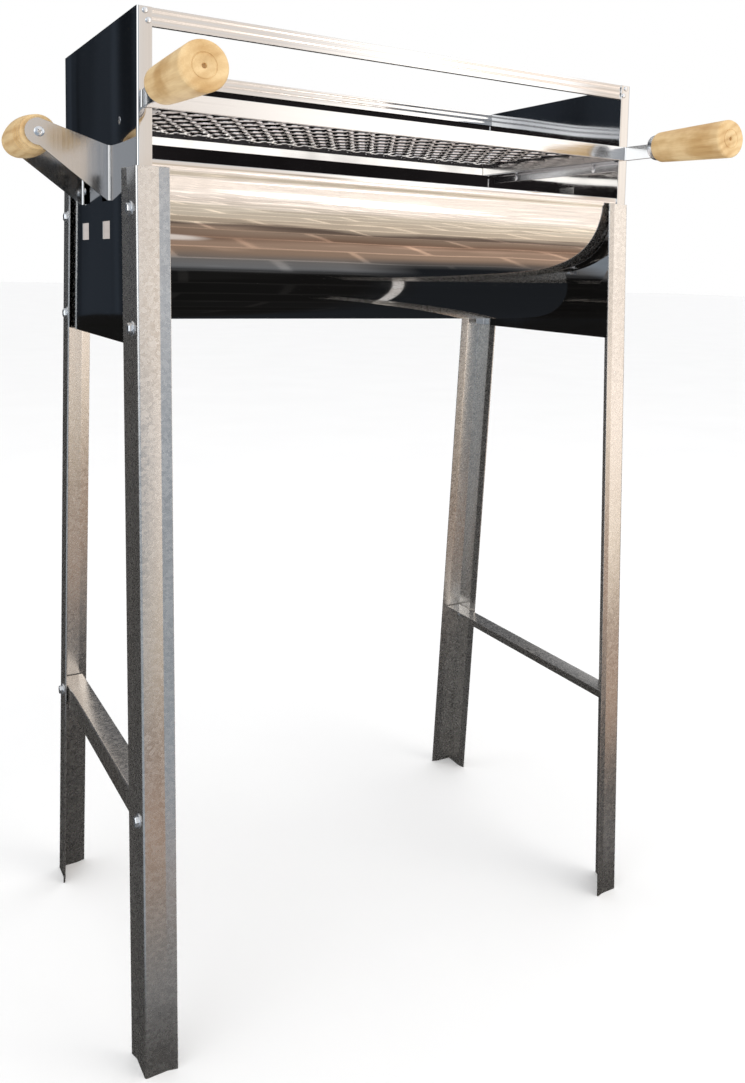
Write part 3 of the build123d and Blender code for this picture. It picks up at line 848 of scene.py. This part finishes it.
# ------------ fasteners
HEX_RADIUS = 4.55 * MM
HEX_CHAMFER = 0.7 * MM
HEX_TOP_SHARE = 0.88
HEAD_HEIGHT = 2.6 * MM
NUT_HEIGHT = 4.0 * MM
WASHER_RADIUS = 6.2 * MM
WASHER_HEIGHT = 0.9 * MM
HEAD_AND_WASHER = HEAD_HEIGHT + WASHER_HEIGHT
THREAD_RADIUS = 2.5 * MM
THREAD_PITCH = 0.8 * MM
THREAD_DEPTH = 0.25 * MM
THREAD_TAPER = 0.6 * MM


def hex_body(height, hole=False):
    """Chamfered hexagon from Z zero upwards."""
    inner = THREAD_RADIUS if hole else 0.0
    chamfer = [(HEX_RADIUS, height - HEX_CHAMFER), (HEX_RADIUS * HEX_TOP_SHARE, height)]
    profile = [(inner, 0.0), (HEX_RADIUS, 0.0), *chamfer, (inner, height)]
    if hole:
        profile.append((inner, 0.0))
    return turned(profile, 6)


def washer(radius, height):
    """Flat round washer with softened edges."""
    profile = [(0.0, 0.0), (radius, 0.0), (radius, 0.6 * height), (0.94 * radius, height), (0.0, height)]
    return turned(profile, 40)


def thread(length):
    """Threaded rod end with small ridges."""
    profile = [(0.0, 0.0)]
    half_pitch = THREAD_PITCH / 2
    for step in range(int(length / half_pitch) + 1):
        profile.append((THREAD_RADIUS - (THREAD_DEPTH if step % 2 else 0.0), step * half_pitch))
    profile += [(THREAD_RADIUS - THREAD_TAPER, length), (0.0, length)]
    return turned(profile, 24)


def build_bolts():
    """Hex bolts with washers outside, and their nuts inside."""
    for kind in ("leg", "brace"):
        bolts, nuts = [], []
        for low, high in solids(f"{kind}_bolts"):
            side = 1 if low.x > 0 else -1
            outside, tail = (high.x, low.x) if side > 0 else (low.x, high.x)
            axis = middle(low, high)
            base = outside - side * HEAD_AND_WASHER
            spin = 0.37 * (axis.z / MM % 7)
            out, into = (side, 0, 0), (-side, 0, 0)
            head_base = (base + side * WASHER_HEIGHT, axis.y, axis.z)
            bolts.append(moved(washer(WASHER_RADIUS, WASHER_HEIGHT), (base, axis.y, axis.z), out))
            bolts.append(moved(hex_body(HEAD_HEIGHT), head_base, out, spin))
            bolts.append(moved(thread(abs(tail - base)), (base, axis.y, axis.z), into))
        for low, high in solids(f"{kind}_nuts"):
            side = 1 if low.x > 0 else -1
            axis = middle(low, high)
            base = (high.x if side > 0 else low.x, axis.y, axis.z)
            nuts.append(moved(hex_body(NUT_HEIGHT, True), base, (-side, 0, 0), 0.5 + axis.z))
        make_piece(f"{kind}_bolts", bolts, "body", MATERIALS["zinc"], smooth=30)
        make_piece(f"{kind}_nuts", nuts, "body", MATERIALS["zinc"], smooth=30)


RIVET_RADIUS = 3.2 * MM
RIVET_HEIGHT = 1.2 * MM
FLAT_RIVET_HEIGHT = 0.5 * MM
RAIL_RIVET_RADIUS = 2.4 * MM
RAIL_RIVET_HEIGHT = 1.1 * MM
RIM_SHARE = 0.25


def domed(radius, height, rings=6):
    """Low dome with a rim, from Z zero upwards."""
    profile = [(0.0, 0.0), (radius, 0.0), (radius, height * RIM_SHARE)]
    for step in range(1, rings):
        angle = math.pi / 2 * step / rings
        rise = RIM_SHARE + (1 - RIM_SHARE) * math.sin(angle)
        profile.append((radius * math.cos(angle), height * rise))
    profile.append((0.0, height))
    return turned(profile, 32)


def outward(low):
    """Which way along Y leads out of the object, for a box that starts at low."""
    return -1 if low.y < MIDDLE_Y else 1


def build_rivets():
    """Domed rivet heads on both faces of what they join; the ledges' are flatter outside."""
    for node, outer_height in (("carry_arm_rivets", RIVET_HEIGHT), ("ledge_rivets", FLAT_RIVET_HEIGHT)):
        shapes = []
        for low, high in solids(node):
            axis = middle(low, high)
            for base, direction in ((low.x + RIVET_HEIGHT, -1), (high.x - RIVET_HEIGHT, 1)):
                head = domed(RIVET_RADIUS, outer_height if direction * base > 0 else RIVET_HEIGHT)
                shapes.append(moved(head, (base, axis.y, axis.z), (direction, 0, 0)))
        make_piece(node, shapes, "body", MATERIALS["zinc"], smooth=50)
    shapes = []
    for low, high in solids("rail_rivets"):
        axis = middle(low, high)
        face = FRONT if outward(low) < 0 else BACK
        head = domed(RAIL_RIVET_RADIUS, RAIL_RIVET_HEIGHT)
        shapes.append(moved(head, (axis.x, face, axis.z), (0, outward(low), 0)))
    make_piece("rail_rivets", shapes, "body", MATERIALS["zinc"], smooth=50)


SCREW_HEAD_RADIUS = 4.4 * MM
SCREW_HEAD_HEIGHT = 2.3 * MM
SCREW_STANDOFF = 2.6 * MM
SCREW_WASHER_RADIUS = 5.2 * MM
SCREW_WASHER_HEIGHT = 0.5 * MM
SCREW_HEAD_LIFT = 0.3 * MM
RECESS_REACH = 2.6 * MM
RECESS_HALF = 0.55 * MM
RECESS_DEPTH = 1.5 * MM
RECESS_TAPER = 0.45


def cross_recess(shape):
    """Cut a cross-shaped driver recess into the top of a screw head built along +Z."""
    points, rings = shape
    top = max(point[2] for point in points)
    head = bpy.data.meshes.new("head")
    head.from_pydata(points, [], rings)
    cutter = bpy.data.meshes.new("cutter")
    half, reach = RECESS_HALF, RECESS_REACH
    outline = []
    for quarter in range(4):
        turn = Matrix.Rotation(quarter * math.pi / 2, 2)
        for corner in ((half, half), (half, reach), (-half, reach)):
            outline.append(turn @ Vector(corner))
    count = len(outline)
    lower = [(RECESS_TAPER * point.x, RECESS_TAPER * point.y, top - RECESS_DEPTH) for point in outline]
    upper = [(point.x, point.y, top + RECESS_DEPTH) for point in outline]
    sides = [[k, (k + 1) % count, count + (k + 1) % count, count + k] for k in range(count)]
    cutter.from_pydata(lower + upper, [], sides + [list(range(count)), list(range(count, 2 * count))])
    objects = []
    for mesh in (head, cutter):
        edit = bmesh.new()
        edit.from_mesh(mesh)
        bmesh.ops.recalc_face_normals(edit, faces=edit.faces)
        edit.to_mesh(mesh)
        edit.free()
        objects.append(new_object(mesh.name, mesh))
    cut = objects[0].modifiers.new("cut", "BOOLEAN")
    cut.object = objects[1]
    cut.operation = "DIFFERENCE"
    cut.solver = "EXACT"
    result = objects[0].evaluated_get(bpy.context.evaluated_depsgraph_get()).to_mesh()
    vertices = [tuple(vertex.co) for vertex in result.vertices]
    faces = [list(polygon.vertices) for polygon in result.polygons]
    for thing in objects:
        bpy.data.objects.remove(thing)
    return vertices, faces


def build_screws():
    """Pan-head screws with cross recesses and washers, at the ends of the carrying grips."""
    head = cross_recess(domed(SCREW_HEAD_RADIUS, SCREW_HEAD_HEIGHT, 8))
    shapes = []
    for low, high in solids("carry_grip_screws"):
        axis = middle(low, high)
        way = outward(low)
        base = (low.y if way < 0 else high.y) - way * SCREW_STANDOFF
        plate = washer(SCREW_WASHER_RADIUS, SCREW_WASHER_HEIGHT)
        shapes.append(moved(plate, (axis.x, base, axis.z), (0, way, 0)))
        shapes.append(moved(head, (axis.x, base + way * SCREW_HEAD_LIFT, axis.z), (0, way, 0), 0.5))
    make_piece("carry_grip_screws", shapes, "body", MATERIALS["zinc"], smooth=40)


# ------------ stage, light and surroundings
def only_mirrored(thing):
    """Seen in reflections only."""
    thing.visible_camera = False
    thing.visible_diffuse = False
    thing.visible_shadow = False
    thing.visible_transmission = False


def stage_sheet(name, corners, material):
    """A four-cornered sheet of the stage."""
    mesh = bpy.data.meshes.new(name)
    mesh.from_pydata(corners, [], [[0, 1, 2, 3]])
    mesh.materials.append(material)
    sheet = new_object(name, mesh)
    return sheet


def level(half_width, front, back, height):
    """The corners of a level rectangle."""
    near = [(-half_width, front, height), (half_width, front, height)]
    return near + [(half_width, back, height), (-half_width, back, height)]


def upright(half_width, y, bottom, top):
    """The corners of an upright rectangle across the object."""
    low = [(-half_width, y, bottom), (half_width, y, bottom)]
    return low + [(half_width, y, top), (-half_width, y, top)]


FLOOR_HALF = 30.0
GROUND_HALF = 12.0
GROUND_DROP = 2 * MM
GROUND_REACH = 2.0
# The darkest bands nearest the front are painted shadow of the object on the ground.
GROUND_BANDS_WITH_PAINTED_SHADOW = (
    (0.030, grey(0.010)),
    (0.050, (0.050, 0.052, 0.056)),
    (0.070, (0.19, 0.195, 0.205)),
    (0.12, (0.19, 0.180, 0.175)),
    (0.17, (0.36, 0.255, 0.190)),
    (0.24, (0.42, 0.290, 0.215)),
    (0.30, (0.25, 0.160, 0.115)),
    (0.37, (0.34, 0.250, 0.190)),
    (0.42, (0.15, 0.11, 0.09)),
    (0.46, (0.62, 0.52, 0.41)),
    (0.75, (0.72, 0.64, 0.53)),
    (1.0, (0.98, 0.88, 0.80)),
)
GROUND_PATCHES_WITH_PAINTED_HIGHLIGHT = (
    # Painted highlight: a very bright patch far ahead, which the trough shows as a bright reflection.
    ((1.50, FRONT - 3.10, 0), (1.6, 1.1, 0), (4.0, 3.9, 3.8, 1)),
    ((0.03, FRONT - 0.55, 0), (8.5, 14.0, 0), (0.85, 0.76, 0.70, 1)),
)


def build_floor():
    """The pale floor, which reflections don't show."""
    material, tree, shader, place = new_material("floor")
    tone = noise(tree, place, 3.0, 3.0)
    colour = blend_colour(tree, tone, (0.86, 0.86, 0.855, 1), (0.90, 0.90, 0.895, 1))
    wire(tree, shader, Base_Color=colour, Roughness=0.75)
    floor = stage_sheet("floor", level(FLOOR_HALF, -FLOOR_HALF, FLOOR_HALF, 0.0), material)
    floor.visible_glossy = False


def build_mirrored_ground():
    """The darker tiled ground that only the polished metal sees, in bands going away from the front, with
    a painted shadow of the object close in front and a painted highlight far ahead.
    """
    material, tree, place = glowing_material("mirrored_ground")
    warp = noise(tree, place, 3.0, 4.0, (0.7, 1, 1))
    uneven = maths(tree, "SUBTRACT", warp, 0.5)
    axes = put(tree, "ShaderNodeSeparateXYZ", {0: place})
    across = axes.outputs[0]
    ahead = maths(tree, "SUBTRACT", FRONT, axes.outputs[1])
    drift = maths(tree, "MULTIPLY", uneven, maths(tree, "MULTIPLY", ahead, 0.5))
    band = span(tree, maths(tree, "ADD", ahead, drift), 0.0, 1.0, 0.0, GROUND_REACH)
    slabs = {"Vector": place, "Scale": 1.5, "Mortar Size": 0.012}
    slabs |= {"Color1": (0.78, 0.76, 0.74, 1), "Color2": (1.0, 1.0, 1.0, 1), "Mortar": (1.7, 1.65, 1.6, 1)}
    papers = ramp(tree, noise(tree, place, 2.6, 3.0, (0.8, 1.6, 1)), (0.58, grey(1.0)), (0.66, grey(1.45)))
    rightwards = span(tree, across, 0.0, 1.0, -0.4, 1.2)
    side = ramp(tree, rightwards, (0.0, grey(0.85)), (1.0, grey(1.35)))
    colour = ramp(tree, band, *GROUND_BANDS_WITH_PAINTED_SHADOW)
    for tint in (put(tree, "ShaderNodeTexBrick", slabs).outputs[0], papers, side):
        colour = tinted(tree, colour, tint)
    sideways = maths(tree, "SUBTRACT", across, maths(tree, "MULTIPLY", ahead, 0.26))
    left = span(tree, sideways, 1.0, 0.0, -0.46, -0.34)
    away = span(tree, ahead, 0.0, 1.0, 0.03, 0.12)
    colour = blend_colour(tree, maths(tree, "MULTIPLY", left, away), colour, (0.30, 0.35, 0.41, 1))
    for centre, spread, tint in GROUND_PATCHES_WITH_PAINTED_HIGHLIGHT:
        scaled = vector_maths(tree, "MULTIPLY", vector_maths(tree, "SUBTRACT", place, centre), spread)
        reach = vector_maths(tree, "LENGTH", scaled, result="Value")
        wobble = maths(tree, "ADD", reach, maths(tree, "MULTIPLY", uneven, 1.2))
        colour = blend_colour(tree, span(tree, wobble, 1.0, 0.0, 0.5, 0.9), colour, tint)
    # Painted shadow: the reflected ground close in front and to the right turns near-black.
    near = span(tree, ahead, 1.0, 0.0, 0.18, 0.36)
    right = span(tree, across, 0.0, 1.0, 0.28, 0.42)
    colour = blend_colour(tree, maths(tree, "MULTIPLY", near, right), colour, (0.014, 0.016, 0.019, 1))
    glow(tree, colour)
    square = level(GROUND_HALF, -GROUND_HALF, GROUND_HALF, -GROUND_DROP)
    only_mirrored(stage_sheet("mirrored_ground", square, material))


def painted_reflection_card(name, corners, colour, strength=1.0, patch_scale=8.0):
    """A glowing card inside the body that only the polished metal sees, from dark to light of one colour:
    a painted reflection, dark for painted shade and light for painted light.
    """
    material, tree, place = glowing_material(name)
    darker = tuple(0.6 * part for part in colour)
    tone = ramp(tree, noise(tree, place, patch_scale, 3.0), (0.35, darker), (0.62, colour))
    glow(tree, tone, strength)
    only_mirrored(stage_sheet(name, corners, material))


def build_painted_reflection_cards():
    """Painted reflections: a dark card before the back wall paints shade on it, a light and a dark one
    before the rear bar paint its highlight and shade, a pale glowing one below paints light under the
    grate.
    """
    half = TROUGH_HIGH.x - 1 * MM
    rear_low, rear_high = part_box("grate_rear_bar")
    wall = TROUGH_HIGH.y - TROUGH_SHEET - 0.8 * MM
    near = rear_low.y - 1.5 * MM
    lit = rear_low.z + 8.5 * MM
    dark = upright(half, wall, RIM_TOP + 15 * MM, RAIL_LOW.z - 0.5 * MM)
    # Painted shade: a near-black card in front of the back wall makes its inner face reflect dark.
    painted_reflection_card("painted_shade_wall_card", dark, (0.016, 0.014, 0.015))
    strip = upright(rear_high.x, near, rear_low.z, lit)
    # Painted highlight: a bright glowing card before the lower part of the rear bar, seen as the lit bar
    # in reflections.
    painted_reflection_card("painted_highlight_bar_card", strip, (1.0, 0.98, 0.95), 1.5, 14.0)
    # Painted shade: a dark card before the top part of the rear bar.
    painted_reflection_card("painted_shade_bar_top_card", upright(rear_high.x, near, lit, rear_high.z), (0.03, 0.028, 0.03))
    pale = level(half, FRONT + 16 * MM, rear_low.y, RIM_TOP + 1 * MM)
    # Painted light: a pale glowing card below the grate that brightens the mesh and bar undersides in
    # reflections.
    painted_reflection_card("painted_light_below_card", pale, (1.0, 0.93, 0.90), 1.15, 5.0)


LEFT_BY_AZIMUTH = (
    (0.0, (2.2, 2.3, 2.4)),
    (0.14, (1.9, 2.0, 2.1)),
    (0.24, (0.50, 0.55, 0.62)),
    (0.42, (0.48, 0.52, 0.58)),
)
HIGH_FRONT_BY_AZIMUTH = (
    *LEFT_BY_AZIMUTH,
    (0.50, (0.95, 0.93, 0.92)),
    (0.61, (0.92, 0.84, 0.77)),
    (0.68, (1.0, 0.92, 0.86)),
    (0.73, (1.7, 1.65, 1.6)),
    (0.802, (1.8, 1.8, 1.8)),
    (0.811, (0.80, 0.66, 0.55)),
    (0.822, (0.90, 0.78, 0.68)),
    (0.835, (1.3, 1.2, 1.1)),
    (1.0, (1.1, 1.0, 0.92)),
)
LOW_FRONT_BY_AZIMUTH = (
    *LEFT_BY_AZIMUTH,
    (0.50, (0.92, 0.84, 0.78)),
    (0.62, (0.80, 0.68, 0.56)),
    (0.68, (0.84, 0.73, 0.61)),
    (0.70, (0.62, 0.52, 0.44)),
    (0.715, (1.0, 0.9, 0.8)),
    (0.735, (2.2, 2.1, 2.0)),
    (0.755, (1.7, 1.6, 1.5)),
    (0.775, (1.0, 0.86, 0.78)),
    (0.82, (0.95, 0.80, 0.72)),
    (0.84, (1.2, 1.1, 1.0)),
    (1.0, (1.0, 0.9, 0.8)),
)


def build_world():
    """Pale surroundings; in reflections bright in front, warmer to the left, dark behind."""
    world = bpy.data.worlds.new("studio")
    bpy.context.scene.world = world
    world.use_nodes = True
    tree = world.node_tree
    tree.nodes.clear()
    direction = put(tree, "ShaderNodeTexCoord").outputs["Generated"]
    across, back, up = put(tree, "ShaderNodeSeparateXYZ", {0: direction}).outputs
    azimuth = span(tree, across, 0.0, 1.0, -1.0, 1.0)
    high_front = ramp(tree, azimuth, *HIGH_FRONT_BY_AZIMUTH)
    low_front = ramp(tree, azimuth, *LOW_FRONT_BY_AZIMUTH)
    front = blend_colour(tree, span(tree, up, 0.0, 1.0, 0.05, 0.10), low_front, high_front)
    streaks = noise(tree, direction, 1.0, 2.0, (14, 14, 0.6))
    dark = ramp(tree, streaks, (0.35, (0.008, 0.010, 0.013)), (0.70, (0.028, 0.035, 0.046)))
    round_about = blend_colour(tree, span(tree, back, 1.0, 0.0, -0.45, 0.1), dark, front)
    right_side = span(tree, across, 0.0, 1.0, 0.58, 0.75)
    behind = span(tree, back, 0.0, 1.0, -0.1, 0.2)
    not_below = span(tree, up, 0.0, 1.0, -0.3, 0.0)
    card = maths(tree, "MULTIPLY", maths(tree, "MULTIPLY", right_side, behind), not_below)
    round_about = blend_colour(tree, card, round_about, (0.95, 0.97, 1.0, 1))
    overhead = span(tree, up, 0.0, 1.0, 0.45, 0.85)
    mirrored_colour = blend_colour(tree, overhead, round_about, (0.85, 0.86, 0.88, 1))
    rays = put(tree, "ShaderNodeLightPath")
    plain = blend_colour(tree, rays.outputs["Is Camera Ray"], (1.13, 1.13, 1.14, 1), (1.0, 1.0, 1.0, 1))
    colour = blend_colour(tree, rays.outputs["Is Glossy Ray"], plain, mirrored_colour)
    background = put(tree, "ShaderNodeBackground", {"Color": colour, "Strength": 1.0})
    put(tree, "ShaderNodeOutputWorld", {0: background.outputs[0]})


LIGHTS = {
    "key": ((1.3, -1.9, 2.5), (0, 0, 0.6), 1.4, 16, (1.0, 0.97, 0.93)),
    "fill": ((-2.2, -1.2, 1.8), (0, 0, 0.5), 2.0, 5, (0.95, 0.97, 1.0)),
    "top": ((0.0, 0.6, 3.0), (0, 0, 0.5), 2.5, 4, (1, 1, 1)),
}


def build_light(name, place, target, size, power, colour):
    """A soft square light that reflections don't show."""
    data = bpy.data.lights.new(name, "AREA")
    data.shape = "SQUARE"
    data.size = size
    data.energy = power
    data.color = colour
    light = new_object(name, data)
    light.location = place
    aim = Vector(target) - Vector(place)
    light.rotation_euler = aim.to_track_quat("-Z", "Y").to_euler()
    light.visible_glossy = False


def build_stage():
    """Floor, surroundings and soft lights."""
    build_floor()
    build_mirrored_ground()
    build_painted_reflection_cards()
    build_world()
    for name, settings in LIGHTS.items():
        build_light(name, *settings)
    view = bpy.context.scene.view_settings
    view.view_transform = "Standard"
    view.look = "None"


make_camera()
build_stage()
build_end_panels()
build_trough()
build_rails()
build_legs()
build_angles()
build_carry_arms()
build_carry_grips()
build_grate_frame()
build_mesh()
build_grate_handles()
build_bolts()
build_rivets()
build_screws()
